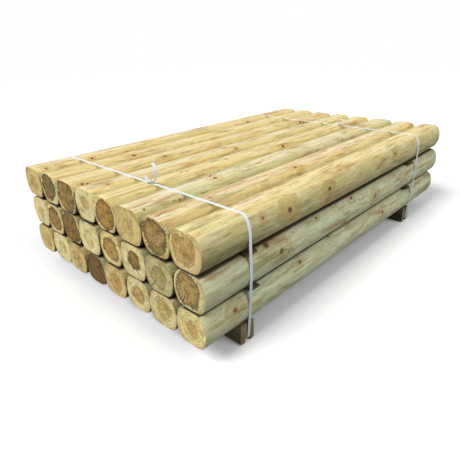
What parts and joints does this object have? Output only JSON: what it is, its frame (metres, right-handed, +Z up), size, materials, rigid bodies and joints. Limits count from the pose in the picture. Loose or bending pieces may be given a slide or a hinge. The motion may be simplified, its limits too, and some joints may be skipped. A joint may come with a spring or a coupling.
{
  "type": "strapped bundle of timber sleepers",
  "caption": "Bundle of round-sided timber sleepers with sawn flats, laid in three layers on laths and two grooved bearers, held by two white straps with wire buckles.",
  "frame": {"origin": "on the ground under the middle of the bundle's bounding box", "axes": "+X along the sleepers, away from the ends that the picture shows; +Y across a layer, away from the picture's near long side; +Z up"},
  "size_m": [2.4, 1.444, 0.7113],
  "materials": {
    "sleeper_timber": "rough planed",
    "bearer_timber": "rough sawn, weathered",
    "lath_timber": "rough sawn, weathered",
    "strapping": "woven polyester cord strap",
    "buckle_wire": "galvanized wire"
  },
  "bodies": {
    "root": {"sleeper_bottom_1": "sleeper_timber", "sleeper_bottom_2": "sleeper_timber", "sleeper_bottom_3": "sleeper_timber", "sleeper_bottom_4": "sleeper_timber", "sleeper_bottom_5": "sleeper_timber", "sleeper_bottom_6": "sleeper_timber", "sleeper_bottom_7": "sleeper_timber", "sleeper_bottom_8": "sleeper_timber", "sleeper_middle_1": "sleeper_timber", "sleeper_middle_2": "sleeper_timber", "sleeper_middle_3": "sleeper_timber", "sleeper_middle_4": "sleeper_timber", "sleeper_middle_5": "sleeper_timber", "sleeper_middle_6": "sleeper_timber", "sleeper_middle_7": "sleeper_timber", "sleeper_middle_8": "sleeper_timber", "sleeper_top_1": "sleeper_timber", "sleeper_top_2": "sleeper_timber", "sleeper_top_3": "sleeper_timber", "sleeper_top_4": "sleeper_timber", "sleeper_top_5": "sleeper_timber", "sleeper_top_6": "sleeper_timber", "sleeper_top_7": "sleeper_timber", "sleeper_top_8": "sleeper_timber", "bearer_front": "bearer_timber", "lath_front_lower": "lath_timber", "lath_front_upper": "lath_timber", "strap_front": "strapping", "buckle_front": "buckle_wire", "bearer_rear": "bearer_timber", "lath_rear_lower": "lath_timber", "lath_rear_upper": "lath_timber", "strap_rear": "strapping", "buckle_rear": "buckle_wire"}
  },
  "joints": []
}
